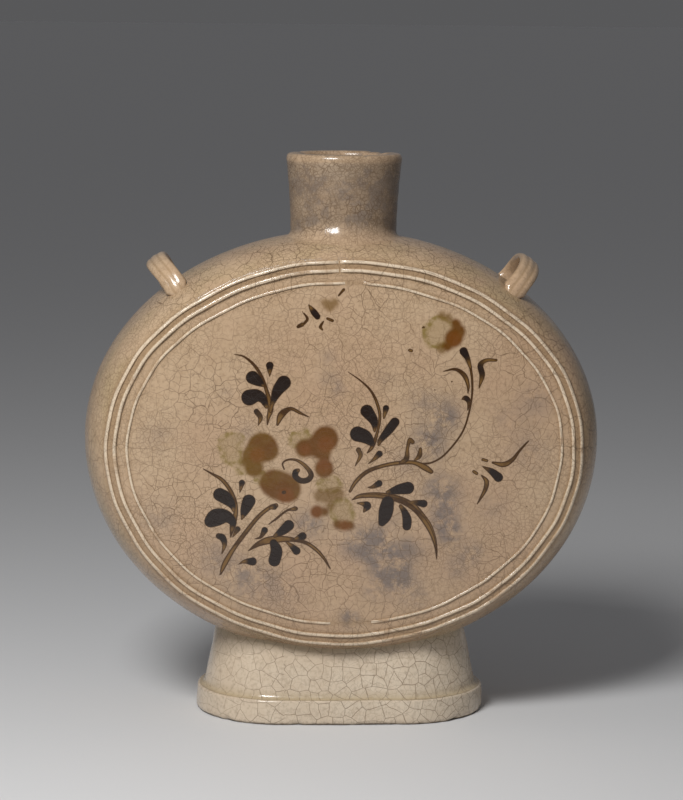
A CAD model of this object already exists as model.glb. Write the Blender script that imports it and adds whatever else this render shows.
# Looks of the pilgrim flask: crackle-glazed clay pieces, a brush-painted flower spray and studio light.
# Everything is in metres, in the frame of the solids: +Z up, the front face looks along -Y.
import math

import bmesh
import bpy
import numpy as np
from mathutils import Matrix, Vector


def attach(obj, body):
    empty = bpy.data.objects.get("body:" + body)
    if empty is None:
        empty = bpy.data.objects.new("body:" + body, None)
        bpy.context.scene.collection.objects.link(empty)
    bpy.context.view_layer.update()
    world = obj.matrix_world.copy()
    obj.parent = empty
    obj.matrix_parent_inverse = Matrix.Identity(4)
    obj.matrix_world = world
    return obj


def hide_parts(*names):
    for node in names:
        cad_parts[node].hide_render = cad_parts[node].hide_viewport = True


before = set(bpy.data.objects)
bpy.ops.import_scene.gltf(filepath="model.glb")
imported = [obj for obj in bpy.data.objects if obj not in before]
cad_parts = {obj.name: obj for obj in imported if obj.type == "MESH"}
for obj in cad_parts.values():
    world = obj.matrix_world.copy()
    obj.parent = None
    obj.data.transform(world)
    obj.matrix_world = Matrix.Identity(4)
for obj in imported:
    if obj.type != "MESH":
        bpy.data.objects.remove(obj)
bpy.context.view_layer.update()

MM = 0.001
DEG = math.pi / 180
FRONT, REAR = -1, 1
LEFT, RIGHT = -1, 1

# Body: the sizes of the solids, and how softly the edges turn
BODY_LEVEL = 123.5 * MM
BODY_HALF_WIDTH = 114.5 * MM
BODY_RISE = 92.0 * MM
BODY_DROP = 97.5 * MM
EDGE_DEPTH = 37.0 * MM
DOME_RISE = 3.0 * MM
SIDE_BULGE = 7.0 * MM
EDGE_TURN_FACE = 6.5 * MM     # where the face starts to turn over, in from its edge
EDGE_TURN_SIDE = 15.0 * MM    # where the side takes over, back from the edge
UNDER_TUCK = 2.6 * MM         # how far the underside is tucked in behind the lower border
TUCK_START = 104.5 * MM       # where that starts, as a radius from the middle of the face
TUCK_RUN = 3.0 * MM
WALL = 5.0 * MM
SEAM_HALF = 0.4 * MM
SEAM_BAND_HALF = 3.5 * MM
SEAM_BAND = 1.2 * MM
LUMP = 0.35 * MM              # unevenness of the hand-pressed clay

# Neck: the sizes of the solid, with the glaze and the wear on it
BORE_RADIUS = 19.0 * MM
BORE_BELOW = 20.0 * MM        # how far below and above the crown the way through is cut
BORE_ABOVE = 10.0 * MM
NECK_GLAZE = 0.6 * MM         # the glaze lies thick on the outside of the neck
ROOT_RADIUS = 22.9 * MM + NECK_GLAZE
WAIST_RADIUS = 23.5 * MM + NECK_GLAZE
RIM_RADIUS = 24.9 * MM + NECK_GLAZE
RIM_LEVEL = 250.0 * MM
LIP_RISE = 2.8 * MM
LIP_START = 172 * DEG         # the lip is rounded from the bore over to the outside
LIP_END = 8 * DEG
LIP_BLUNT_ACROSS = 0.6        # powers that make the lip blunter than round
LIP_BLUNT_UP = 0.7
LIP_CLEARNESS = 0.6           # how far the grey glaze of the neck clears to tan on the lip
CLEAR_RISE = 12               # how fast, and from where, it clears up the wall towards the lip
CLEAR_START = 11.3
ROOT_FILLET_SIDE = 2.4 * MM   # the smoothed root is tight over the seam and wide over the faces
ROOT_FILLET_FACE = 8.0 * MM
ROOT_FILLET_SHARE = 0.8       # width of the smoothed root against its height
NECK_LEAN = 0.22 * MM         # how far the wall wanders in and out at the rim
ROOT_LEAN_SHARE = 0.4         # share of that at the root
NECK_RIPPLE = 0.04 * MM       # throwing rings
RIPPLE_COUNT = 27
RIPPLE_SLANT = 2
RIM_CHIPS = [                 # angle, width and depth of the worn places round the lip
    (38 * DEG, 9 * DEG, 1.0 * MM), (54 * DEG, 4 * DEG, 0.5 * MM), (-68 * DEG, 2.5 * DEG, 0.5 * MM),
    (150 * DEG, 6 * DEG, 0.6 * MM),
]

# Foot: the sizes of the solids, with their wear
PLINTH_HEIGHT = 11.0 * MM
PLINTH_LEDGE = 3.3 * MM
PLINTH_ROUND = 0.9 * MM
PLINTH_LEAN = 0.4 * MM
PLINTH_FOOT_ROUND = 0.9 * MM
LEDGE_DIP = 0.5 * MM
COLLAR_HALF_WIDTH = 61.4 * MM
COLLAR_HALF_DEPTH = 35.7 * MM
COLLAR_LEAN = 8.2 * MM
COLLAR_RISE = 40.0 * MM
COLLAR_COVE = 1.8 * MM
COVE_POOL = 0.4               # glaze pools on the cove and fades up the wall
COVE_POOL_FADE = 4
HEAD_POOL_RISE = 5            # and pools again under the body
HEAD_POOL_START = 4
FOOT_WALL = 5.5 * MM
FOOT_WANDER = 0.35 * MM
FOOT_CHIP = 0.8 * MM
CHIP_REACH = 2.2 * MM         # how high up the edge the chips reach
FOOT_CHIPS = [                # angle, width and share of the chip depth round the lower edge
    (-30 * DEG, 2.0 * DEG, 2.2), (-58 * DEG, 1.6 * DEG, 1.2), (-118 * DEG, 2.4 * DEG, 1.4),
    (-150 * DEG, 1.5 * DEG, 1.8), (35 * DEG, 2.5 * DEG, 2.0), (110 * DEG, 2.0 * DEG, 1.5),
    (170 * DEG, 2.2 * DEG, 1.6),
]

# Lugs: the sizes of the solids, with fuller and rounder feet
LUG_ANGLE = 48.5 * DEG
LUG_RISE = 14.0 * MM
LUG_HALF_SPAN = 25.0 * MM
LUG_WIDTH = 10.0 * MM
LUG_THICKNESS = 3.8 * MM
LUG_FOOT_SPREAD = 1.6 * MM
LUG_TOE = 3.2 * MM            # how far the pressed foot swells out from the strap
LUG_TOE_RISE = 6.5 * MM       # how high above the shoulder that swelling starts
LUG_SINK = 2.7 * MM           # how far below the seat the feet meet the swelling side
LUG_TOE_ROUND = 3.0 * MM      # over this height the foot is rounded off at its end
LUG_END_SHARE = 0.5           # how round the foot is where it meets the body, and at the least
LUG_LEAST_SHARE = 0.2
STRAP_BLUNT = 0.85            # power that makes the strap's section blunter than round
REEDS = 3
REED_SHARE = 0.06             # height of the reeds against half the strap's thickness
LUG_ROOT_ANGLE = 30.0 * DEG
LUG_SWAY = 0.4 * MM
SWAY_COUNT = 3
LUG_TWIST = {"left_lug": -3.0 * DEG, "right_lug": 1.0 * DEG}

# Raised borders: where they lie on the solids, drawn a little finer
STRIP_INSET = 12.4 * MM       # from the widest outline to the middle of the strip
STRIP_SPACING = 3.8 * MM
RIDGE_HALF_WIDTH = 0.95 * MM
RIDGE_HEIGHT = 1.2 * MM
STRIP_WEB = 0.25 * MM
STRIP_JOINT = -3.2 * MM
STRIP_GAP = 0.7 * MM
THREAD_INSET = 19.7 * MM
THREAD_HALF_WIDTH = 0.75 * MM
THREAD_HEIGHT = 0.75 * MM
THREAD_GAP_MIDDLE = 3.2 * MM
THREAD_TOP_GAP = 8.0 * MM
THREAD_BOTTOM_GAP = 18.0 * MM
SEAT_DEPTH = 0.6 * MM         # how far a laid-on piece sinks into what carries it
BORDER_WANDER = 0.2 * MM      # how far a laid strip strays from its line
RIDGE_STEP = 0.45 * DEG       # angle between the sections of a laid strip
STRIP_FADES = (6, 11)         # steps over which the two ends of a strip or thread fade
THREAD_FADES = (5, 5)
STRIP_PHASE = 0.7             # where the small waves of a strip or thread begin
THREAD_PHASE = 1.9
RIDGE_BLUNT = 0.8             # power that makes a ridge blunter than round
POOL_REACH = 1.3 * MM         # how far glaze pools beside a ridge
THREAD_POOL = 0.8             # how much of it pools beside a thread
DEEPEST_INSET = 0.9 * BODY_RISE
INSET_HALVINGS = 24           # steps in the search for a place's inset

# Small waves in what is made by hand: count round the ring, phase, twist, and share of the whole
WAVES = {
    "neck": [(2, 0.6, 0, 1.0), (3, 2.0, 0, 0.8)],
    "foot": [(3, 0.8, 0, 1.0), (7, 0, 1.2, 0.6), (19, 0, 3, 0.25)],
    "nick": [(23, 1.3, 0, 0.55)],
    "nick_group": [(41, 0.2, 0, 1.0)],
    "grit": [(97, 0, 0, 0.25)],
    "ridge_line": [(9, 0, 1, 1.0), (23, 0, 2, 0.7)],
    "ridge_height": [(31, 0, 1, 0.12), (57, 0, 0, 0.08)],
}

# Where each unrolled piece lies in the crack nets, so that no two show the same lines
FLAT_PLACES = {"neck": 0 * MM, "collar": 500 * MM, "plinth": 1000 * MM, "left_lug": 1500 * MM,
               "right_lug": 2500 * MM}

# Camera: the place and lens that fit the photograph's perspective
IMAGE_LONG_SIDE = 800
FOCAL_PIXELS = 2929
CAMERA_DISTANCE = 1300 * MM
CAMERA_HEIGHT = 313 * MM
CAMERA_AZIMUTH = -2.76 * DEG
CAMERA_PITCH = 7.6 * DEG
CAMERA_ROLL = 0.57 * DEG
SENSOR = 36.0
FLOOR_REACH = 60.0
TINY = 1e-6                   # keeps a division from failing
SHARP_ANGLE = 50 * DEG        # edges that turn more than this stay sharp

# Brush work on the front face: places in brush steps right of and above the middle of the face,
# with the half width of the stroke in the same steps
BRUSH_STEP = 0.436 * MM
BRUSH_MARGIN = 12.0           # how far beyond a stroke its depth is followed, in brush steps
REFINE_MARGIN = 1.6           # how far beyond a stroke the face is cut finer, in brush steps
DAB_JOIN = 1.6                # how softly dabs run together, in brush steps
DAB_LIMIT = 20                # keeps the sum of many dabs from overflowing
STAIN_SPREAD = 1.25           # how far a stain runs beyond its radius
STAIN_LIMIT = 1.2             # what many stains together come to at most

LEAVES = {
    "upper_left_leaf_high": [(-81, 62, 0.8), (-87, 67, 4.8), (-93, 71, 6.8)],
    "upper_left_leaf_low": [(-79, 42, 2.2), (-83, 50, 4.6), (-89, 53, 6.4), (-96, 51, 8.2)],
    "upper_left_bud": [(-76, 72, 0.5), (-76, 83, 4.0)],
    "upper_left_leaf_right": [(-75, 37, 1.4), (-73, 46, 2.6), (-68, 58, 5.6), (-62, 66, 7.2)],
    "upper_left_leaf_foot": [(-87, 23, 0.5), (-85, 31, 2.6), (-89, 37, 2.8)],
    "lower_left_leaf_high": [(-111, -64, 1.2), (-113, -57, 4.0), (-119, -50.5, 6.6), (-125, -47, 6.8)],
    "lower_left_leaf_low": [(-113, -84, 1.6), (-112, -75, 4.0), (-119, -69, 6.4), (-128, -70, 9.0),
                            (-134, -74, 6.5)],
    "lower_left_bud": [(-105, -45, 0.5), (-103, -35, 3.2)],
    "lower_left_leaf_right": [(-103, -72, 0.9), (-99.5, -62, 5.0), (-96, -53.5, 6.8)],
    "lower_left_bud_foot": [(-112, -90, 0.6), (-107, -82, 3.0)],
    "lower_left_leaf_foot": [(-123, -108, 0.5), (-120, -98, 2.4), (-122, -91, 3.6), (-126, -89, 3.0)],
    "low_spray_leaf_down": [(-71, -96, 4.0), (-68, -104, 6.0), (-70, -114, 6.2)],
    "low_spray_leaf_up": [(-70, -89, 1.8), (-62, -83.5, 4.6), (-56, -78, 5.6)],
    "low_spray_bud_right": [(-50, -92, 1.2), (-42, -89, 4.2)],
    "low_spray_leaf_right": [(-58, -95, 1.0), (-53, -99, 2.6), (-48, -104, 4.2)],
    "low_spray_bud_left": [(-90, -92, 0.5), (-84, -90, 1.6), (-80, -83, 3.4)],
    "low_spray_bud_low": [(-106, -118, 0.5), (-100, -115, 2.0), (-92, -115, 4.4)],
    "middle_leaf_high": [(29, 18, 1.2), (28, 28, 4.4), (21, 38, 6.6)],
    "middle_leaf_low": [(27, 5, 2.8), (20, 12, 6.6), (12, 15, 7.8)],
    "middle_bud_right": [(38, 31, 1.0), (40, 41, 3.3)],
    "middle_leaf_right": [(33, 4, 1.2), (35, 9, 2.8), (43, 19, 4.6), (49, 27, 4.8)],
    "middle_drop_left": [(10, -17, 0.6), (15, -7, 2.2), (13, -1, 2.6)],
    "middle_drop_right": [(23, -15, 0.5), (28, -11, 1.6), (34, -5, 3.4)],
    "branch_hook": [(55, -14, 1.6), (61, -10, 2.8), (62, 0, 1.8), (64, 9, 2.1), (67, 7, 2.3)],
    "branch_bud": [(69, -12, 0.8), (74, -7, 2.6), (75, 0, 1.6)],
    "branch_drop": [(23, -39, 0.5), (27.5, -38.5, 1.9), (34, -35, 3.6)],
    "right_spray_leaf_up": [(43, -44, 2.2), (54, -41, 5.2), (63, -39.5, 6.4)],
    "right_spray_leaf_right": [(64, -54, 1.4), (71.5, -54.5, 2.7), (79, -55.5, 4.0)],
    "right_spray_leaf_down": [(43, -54, 6.4), (41.5, -62, 7.4), (40, -69, 6.4), (37.5, -75, 3.8)],
    "right_spray_leaf_low": [(56, -58, 2.0), (60, -64, 3.4), (62.5, -71.5, 4.7), (62.5, -78.5, 4.5)],
    "right_spray_leaf_left": [(12.5, -55, 0.7), (19, -56, 2.6), (22.5, -58, 4.0), (19, -64, 0.9)],
    "flower_bud_base": [(124, 82, 1.6), (121, 91, 2.8), (117, 98, 4.3)],
    "flower_leaf_right": [(133, 61, 0.6), (136, 74, 2.9), (134, 84, 2.9), (140, 89, 2.0), (150, 89, 1.5)],
    "stem_thorn": [(122, 39, 0.6), (123, 47, 2.2), (120, 51, 2.8), (116, 50, 0.6)],
    "swirl": [(-61, -21, 0.8), (-62.5, -15, 0.9), (-57, -11.3, 1.1), (-48, -12, 1.5), (-39.5, -18, 2.1),
              (-34, -26, 2.7), (-37, -31.5, 3.0), (-44, -32.5, 3.0), (-49.5, -28.5, 3.1),
              (-49.5, -24, 3.2), (-47, -22, 2.0)],
    "top_insect_body": [(-38, 144, 0.5), (-33, 137, 3.2), (-29, 132, 3.2)],
    "top_insect_dot_left": [(-48, 122, 1.9), (-44, 124, 2.2)],
    "top_insect_dot_right": [(-19, 130, 1.4), (-14, 128, 1.6)],
    "top_insect_dot_low": [(-23, 127, 0.9), (-26, 122, 1.6), (-24, 119, 1.0)],
    "top_insect_dash": [(-8, 153, 1.0), (-3, 159, 1.5)],
    "right_insect_body": [(138, -18, 0.7), (147, -23, 3.4), (154, -29, 4.8)],
    "right_insect_dot_high": [(138, -11, 1.6), (142, -12, 1.6)],
    "right_insect_dot_low": [(129, -23, 1.7), (132, -25, 1.7)],
    "stray_dot": [(63, 99, 1.6), (65, 98.5, 1.6)],
    "flower_dot": [(76, 121.5, 1.1), (77, 122, 1.1)],
    "flower_speck": [(105.4, 67.6, 0.8), (106, 67.6, 0.8)],
    "long_stem_tip": [(-75, -60.5, 1.2), (-70.5, -59.5, 2.9)],
    "short_stem_tip": [(-54, -61.5, 1.1), (-50, -61, 2.5)],
    "petal_dot": [(-61.5, -44.5, 1.8), (-60.5, -44.3, 1.8)],
    "right_spray_blade_edge": [(16, -46, 0.8), (30, -45, 1.2), (44, -47, 1.5), (60, -51.5, 1.7),
                               (70, -57.5, 1.7), (78, -66, 1.6), (86, -77, 1.4), (91, -90, 1.1),
                               (93, -102, 0.8), (93.3, -112, 0.4)],
}

STEMS = {
    "upper_left_blade": [(-111, 94, 0.5), (-102, 92, 1.0), (-92, 84, 1.6), (-84, 72, 1.7), (-79, 58, 2.0),
                         (-76, 47, 2.6), (-75, 39, 3.0), (-77, 31, 1.9), (-78, 24, 0.8)],
    "upper_left_hook": [(-68, 24, 1.4), (-64, 34, 3.6), (-55, 40, 2.0), (-46, 36, 1.5), (-37, 32, 0.6)],
    "lower_left_blade": [(-142, -21, 0.5), (-133, -26, 1.2), (-123, -32, 2.0), (-115, -42, 2.1),
                         (-110, -53, 2.0), (-109, -65, 2.4), (-112, -78, 3.0), (-114, -90, 0.8)],
    "long_stem": [(-125, -131, 0.6), (-120, -118, 2.7), (-111, -102, 2.4), (-98, -84, 2.4),
                  (-86, -69, 2.2), (-75, -60, 2.2), (-69, -58, 2.6)],
    "short_stem": [(-76, -77, 0.6), (-68, -71, 1.2), (-58, -63, 1.2), (-49, -61, 2.2)],
    "low_spray_blade": [(-96, -104, 0.6), (-86, -97, 2.8), (-74, -93, 4.0), (-61, -92, 3.2),
                        (-49, -93, 2.2), (-38, -96, 2.0), (-28, -103, 2.0), (-20, -112, 1.5),
                        (-14, -122, 0.7)],
    "middle_blade": [(2, 77, 0.4), (15, 68, 0.9), (25, 58, 1.3), (31, 46, 1.6), (34, 33, 1.6),
                     (32, 18, 1.5), (27, 3, 2.2), (22, -4, 0.8)],
    "branch": [(5, -43, 1.5), (11, -33, 2.1), (22, -23, 2.2), (38, -17, 2.1), (55, -14, 2.2),
               (69, -14, 2.3), (80, -19, 3.2), (86, -23, 2.4)],
    "bud_stem": [(78, -15, 1.0), (86, -14, 1.0), (97, -8, 1.0), (109, 5, 1.0), (118, 19, 1.0),
                 (123, 35, 1.0), (126, 53, 1.1), (126, 69, 1.3), (124, 83, 1.5)],
    "bud_leaf_left": [(97, 78, 0.5), (109, 80, 1.6), (118, 74, 2.5), (122, 64, 1.8), (122, 56, 0.6)],
    "right_spray_blade": [(7, -52, 0.5), (15, -48, 2.3), (31, -47, 3.0), (47, -49, 3.5), (61, -54, 3.6),
                          (72, -62, 3.5), (82, -75, 3.2), (89, -89, 2.4), (92.3, -102, 1.4),
                          (93, -113, 0.5)],
    "top_insect_wing_left": [(-44, 137, 0.5), (-39, 130, 1.5), (-42, 125, 1.4)],
    "right_insect_wing_high": [(148, -14, 1.3), (159, -16, 2.8), (168, -11, 2.2), (174, -3, 1.4),
                               (181, 5, 1.0), (184, 8, 0.6)],
    "right_insect_wing_low": [(137, -27, 0.8), (142, -33, 2.5), (141, -41, 2.3), (137, -49, 1.5),
                              (133, -56, 0.6)],
}

# Petals as overlapping dabs: (right, up, radius) in brush steps
BROWN_DABS = [
    (-83, 1, 15), (-76, -3, 9), (-93, -8, 10), (-91, -20, 9), (-20, 10, 13), (-30, 2, 10), (-41, 0, 9),
    (-23, -3, 8), (-21, -9, 5), (-21, -20, 9.5), (-72, -35, 13.5), (-65, -38, 14.5), (-58, -41, 14),
    (-28, -64, 6.5), (-20, -64, 4), (-7, -77, 4.5), (0, -78, 5), (6, -78, 4), (107, 111, 9),
    (112, 118, 6.5), (109, 126, 4.5), (101, 103, 4.5),
]
FAINT_DABS = [
    (-25, -48, 6), (-16, -48, 7), (-7, -46, 6), (-14, -58, 4), (-100, -14, 4), (102, 131, 4),
    (95, 134, 3.5), (95, 101, 5), (-22, 146, 3), (-17, 143, 5), (-12, 146, 3),
]
OLIVE_DABS = [
    (-116, 4, 11), (-108, 8, 7), (-113, -8, 10), (-102, -20, 7), (-49, 9, 8), (-40, 13, 6), (-13, -36, 9),
    (-22, -36, 6), (-4, -62, 12), (0, -70, 9), (88, 110, 9), (84, 116, 8), (94, 118, 15), (-84, -30, 7),
]
ORANGE_DABS = [
    (-59, -49, 8), (-88, -7, 7), (-19, 4, 8), (-22, -18, 7), (-29, -64, 6), (0, -78, 6), (108, 110, 7),
    (-40, -1, 5),
]

# Blue-grey stains under the glaze: (right, up, radius, strength)
STAINS = [
    (8, -97, 11, 0.7), (21, -97, 14, 1.0), (32, -104, 11, 1.0), (45, -111, 12, 1.0), (50, -120, 13, 1.0),
    (53, -129, 12, 0.8), (28, -146, 8, 0.6), (64, -98, 8, 0.8), (35, -86, 9, 0.6), (52, -72, 7, 0.5),
    (75, -106, 8, 0.5), (102, -43, 13, 1.0), (88, -39, 11, 0.7), (100, -64, 9, 0.8), (100, -77, 12, 1.0),
    (107, -87, 10, 1.0), (128, -107, 9, 0.9), (75, 48, 10, 0.6), (98, 38, 13, 0.8), (104, 30, 9, 0.7),
    (82, 12, 14, 0.8), (88, 2, 12, 0.7), (190, 46, 14, 0.6), (186, 0, 16, 0.5), (160, 30, 12, 0.4),
    (-130, -112, 15, 0.7), (-96, -140, 18, 0.6), (-41, -80, 13, 0.8), (-30, -74, 9, 0.6),
    (-186, -72, 14, 0.5), (8, -176, 7, 1.3), (4, -170, 5, 0.8), (-16, 70, 9, 0.5), (-188, 10, 12, 0.4),
    (-60, -150, 16, 0.4), (150, -60, 12, 0.4), (-8, 60, 7, 0.5), (40, 70, 8, 0.4), (-18, 92, 6, 0.5),
    (-120, 56, 5, 0.4), (-100, 15, 9, 0.4), (60, -14, 10, 0.5), (60, -140, 13, 0.6), (35, -132, 11, 0.5),
    (78, -152, 11, 0.5), (112, -122, 11, 0.6), (-102, -124, 13, 0.6), (-72, -130, 11, 0.4),
]

# Glaze colours, as they are under plain light; each ground is a set of three: deep, middle and pale
TANS = [(0.400, 0.272, 0.165, 1), (0.445, 0.298, 0.188, 1), (0.490, 0.352, 0.225, 1)]
NECK_GREYS = [(0.185, 0.135, 0.094, 1), (0.285, 0.202, 0.133, 1), (0.360, 0.272, 0.187, 1)]
FOOT_CREAMS = [(0.540, 0.430, 0.312, 1), (0.580, 0.470, 0.348, 1), (0.635, 0.535, 0.412, 1)]
NECK_BLUE = (0.150, 0.122, 0.106, 1)
RIDGE_CREAM = (0.720, 0.600, 0.450, 1)
POOL_BROWN = (0.270, 0.172, 0.088, 1)
POOL_OLIVE = (0.350, 0.265, 0.135, 1)
CRACK_BROWN = (0.098, 0.055, 0.025, 1)
STAIN_GREY = (0.135, 0.113, 0.108, 1)
INK_BLACK = (0.0150, 0.0080, 0.0050, 1)
INK_BROWN = (0.050, 0.021, 0.005, 1)
STEM_GOLD = (0.165, 0.086, 0.024, 1)
PETAL_BROWN = (0.116, 0.042, 0.003, 1)
PETAL_OLIVE = (0.130, 0.062, 0.005, 1)
PETAL_ORANGE = (0.165, 0.046, 0.004, 1)
OLIVE = (0.225, 0.155, 0.052, 1)
BARE_CLAY = (0.20, 0.145, 0.095, 1)

# Crack nets of the glazes: cell and line width, darkness, the size of the patches they fade over,
# and how whole the net is
CRACKLE = {
    "body": {"cell": 3.6 * MM, "line": 0.20 * MM, "strength": 0.70, "patch": 38 * MM, "whole": 0.0},
    "neck": {"cell": 2.2 * MM, "line": 0.27 * MM, "strength": 0.92, "patch": 16 * MM, "whole": 0.3},
    "lug": {"cell": 4.5 * MM, "line": 0.15 * MM, "strength": 0.45, "patch": 22 * MM, "whole": 0.3},
    "foot": {"cell": 5.8 * MM, "line": 0.19 * MM, "strength": 0.90, "patch": 90 * MM, "whole": 1.0},
}
SIDE_CRACK_GAIN = 0.3         # how much darker the cracks are outside the borders
GLAZE_IOR = 1.5
GLAZE_ROUGHNESS = 0.13
RAISED_ROUGHNESS = 0.12       # lugs and borders are rubbed smoother
PIT_SPACING = 9 * MM
SWELL_NOISE = (6 * MM, 2.0, 0.55)     # size, detail and roughness of the slow swelling of the glaze
SWELL_HEIGHT = 0.35 * MM
SWELL_SHARE = 0.8             # share of the relief that is swelling, and that a crack sinks by
CRACK_SINK_SHARE = 0.25
RELIEF_STRENGTH = 0.35
CRACK_DULLNESS = 0.2          # how much rougher the glaze is on a crack
BARE_LEVEL = 1.5 * MM         # the lowest edge is rubbed down to the clay, raggedly
BARE_FADE = 1.6
BARE_RAGGED = 2.6 * MM
BARE_NOISE = (5 * MM, 4.0, 0.55)
WANDER_NOISE = (4 * MM, 4.0, 0.65)    # how thin paint strays at its edge
WANDER_REACH = 7.0            # in brush steps, all of it for washes and a share for petals
FAINT_WANDER_SHARE = 0.6
PETAL_WANDER_SHARE = 0.12
LEAST_COVER = 0.96            # how much of the ground a petal covers where its grain is thinnest

# The three crack nets of a glaze, against its own cell and line: cell, line, and size and reach of bends
CRACK_NETS = {"wide": (2.3, 1.1, 3.0, 2.2), "main": (1.0, 1.0, 1.6, 1.1), "fine": (0.55, 0.8, 0.8, 0.5)}
CRACK_CORE = 0.2              # share of a crack's width that is fully dark
BEND_DETAIL = 2.0
WHOLE_STIFFNESS = 0.6         # how much less a whole net bends
LEAST_FADE = 0.45             # what is left of a net where it fades

# Patches of the glazes and the paint: size, detail, roughness, and the noise at which they start and are
# full; the sizes of the crack patches are shares of the glaze's cell or patch
PATCHES = {
    "cloud": (55 * MM, 3.0, 0.55, 0.32, 0.68),
    "mottle": (7 * MM, 5.0, 0.70, 0.35, 0.75),
    "speckle": (1.6 * MM, 2.0, 0.55, 0.45, 0.75),
    "pitted": (18 * MM, 3.0, 0.55, 0.50, 0.60),
    "worn": (9 * MM, 4.0, 0.55, 0.35, 0.75),
    "tinge": (24 * MM, 4.0, 0.55, 0.40, 0.68),
    "neck_patch": (11 * MM, 4.0, 0.65, 0.46, 0.60),
    "crest": (12 * MM, 3.0, 0.55, 0.28, 0.50),
    "stain": (6 * MM, 6.0, 0.70, 0.30, 0.58),
    "paint_grain": (2.2 * MM, 3.0, 0.55, 0.30, 0.70),
    "olive_petal": (16 * MM, 2.0, 0.55, 0.42, 0.62),
    "stem_gold": (12 * MM, 3.0, 0.55, 0.40, 0.58),
    "leaf_gold": (8 * MM, 3.0, 0.55, 0.36, 0.54),
    "crack_break": (1.3, 2.0, 0.55, 0.36, 0.52),
    "crack_fade": (1.0, 3.0, 0.55, 0.36, 0.62),
    "fine_crack_fade": (0.6, 3.0, 0.55, 0.36, 0.60),
}

# Values at which each of these starts and is full; those of the paint are in brush steps
EDGES = {
    "stroke": (-0.45, 0.45), "olive_rim": (-2.5, 0.5), "olive_middle": (6.0, 1.0), "olive_wash": (-3.0, 2.0),
    "faint_petal": (-3.5, 2.5), "petal": (-2.6, 2.6), "orange_petal": (-4.0, 3.0), "stem_gold": (0.8, 1.7),
    "black_load": (1.2, 3.4), "black_middle": (0.1, 1.0), "gold_load": (3.3, 1.7), "gold_middle": (0.4, 1.3),
    "pit": (0.055, 0.025), "neck_cracks": (2.2, 0.0), "lug_groove": (0.45, 0.0), "ridge_pool": (0.75, 0.15),
    "ridge_cream": (0.7, 0.95),
}

# How strongly each of these shows where it is full
SHOWS = {
    "mottle": 0.70, "speckle": 0.25, "pit": 0.75, "worn": 0.10, "tinge": 0.42, "pool": 0.55, "stain": 0.66,
    "neck_patch": 0.55, "lug_groove": 0.50, "ridge_pool": 0.60, "ridge_cream": 0.75, "foot_pool": 0.60,
    "main_cracks": 0.85, "fine_cracks": 0.60, "olive_wash": 0.34, "olive_rim": 0.82, "faint_petal": 0.72,
    "orange_petal": 0.50, "leaf_gold": 0.90,
}

# Studio
FLOOR_GREY = (0.66, 0.66, 0.66, 1)
FLOOR_ROUGHNESS = 0.75
SKY_GREY = (0.145, 0.145, 0.15, 1)
HORIZON_GREY = (0.098, 0.098, 0.101, 1)
KEY_PLACE = (-0.32, -0.65, 0.73)
KEY_POWER = 8.7
KEY_SIZE = 0.3

# Fineness of the meshes: points round each ring, and rows of rings
SHELL_FINENESS = {
    "front": {"columns": 360, "face_rows": 100, "side_rows": 14},
    "rear": {"columns": 320, "face_rows": 50, "side_rows": 14},
}
SKIN_FINENESS = {"face_rows": 60, "side_rows": 30}
TURN_ROWS = 12
CAVITY_ROWS = 8
SEAM_COLUMNS = 480
BORE_COLUMNS = 96
BORE_ROWS = 10
NECK_COLUMNS = 256
LIP_ROWS = 18
TUBE_ROWS = 44
ROOT_ROWS = 15
COLLAR_COLUMNS = 320
COLLAR_ROWS = 30
COLLAR_INNER_ROWS = 15
COVE_ROWS = 7
PLINTH_COLUMNS = 480
PLINTH_ROWS = 12
PLINTH_EDGE_ROWS = 5
PLINTH_ROUND_ROWS = 6
LUG_COLUMNS = 60
LUG_ROWS = 96
RIDGE_ARC_POINTS = 11
STROKE_PIECES = 6             # short runs between two points of a stroke
STROKE_CUTS = 2               # extra cuts in each edge of the face along the strokes

edge_radius = BODY_HALF_WIDTH - SIDE_BULGE
face_depth_middle = EDGE_DEPTH + DOME_RISE
crown_level = BODY_LEVEL + BODY_RISE
lip_level = RIM_LEVEL - LIP_RISE


# Shapes that the pieces share

def side_radius(depth, inset=0.0):
    """Radius of the swelling side at a depth from the seam, before the body is made oval."""
    reach = EDGE_DEPTH - inset
    sweep = (reach ** 2 + SIDE_BULGE ** 2) / (2 * SIDE_BULGE)
    return BODY_HALF_WIDTH - inset - sweep + np.sqrt(sweep ** 2 - depth ** 2)


def dome_depth(radius, inset=0.0):
    """Depth of a face from the seam at a radius from its middle, before the body is made oval."""
    edge = edge_radius - inset
    sphere = (edge ** 2 + DOME_RISE ** 2) / (2 * DOME_RISE)
    return face_depth_middle - inset - sphere + np.sqrt(sphere ** 2 - radius ** 2)


def shell_profile(face_rows, side_rows):
    """(radius, depth) rows of the outside of a shell, from the middle of the face to the seam."""
    face_radius = np.linspace(0, edge_radius - EDGE_TURN_FACE, face_rows + 1)[1:]
    face = np.stack([face_radius, dome_depth(face_radius)], axis=1)
    side_depth = np.linspace(EDGE_DEPTH - EDGE_TURN_SIDE, SEAM_HALF, side_rows)
    side = np.stack([side_radius(side_depth), side_depth], axis=1)
    corner = np.array([edge_radius, dome_depth(edge_radius)])
    share = np.linspace(0, 1, TURN_ROWS + 2)[1:-1, None]
    turn = (1 - share) ** 2 * face[-1] + 2 * share * (1 - share) * corner + share ** 2 * side[0]
    return np.vstack([face, turn, side])


skin = shell_profile(**SKIN_FINENESS)


def skin_depth(radius):
    """Depth of the body's skin at a radius from the middle of a face."""
    return np.interp(radius, skin[:, 0], skin[:, 1])


def skin_radius(depth):
    """Radius of the body's skin at a depth from the seam."""
    return np.interp(np.abs(depth), skin[::-1, 1], skin[::-1, 0])


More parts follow.
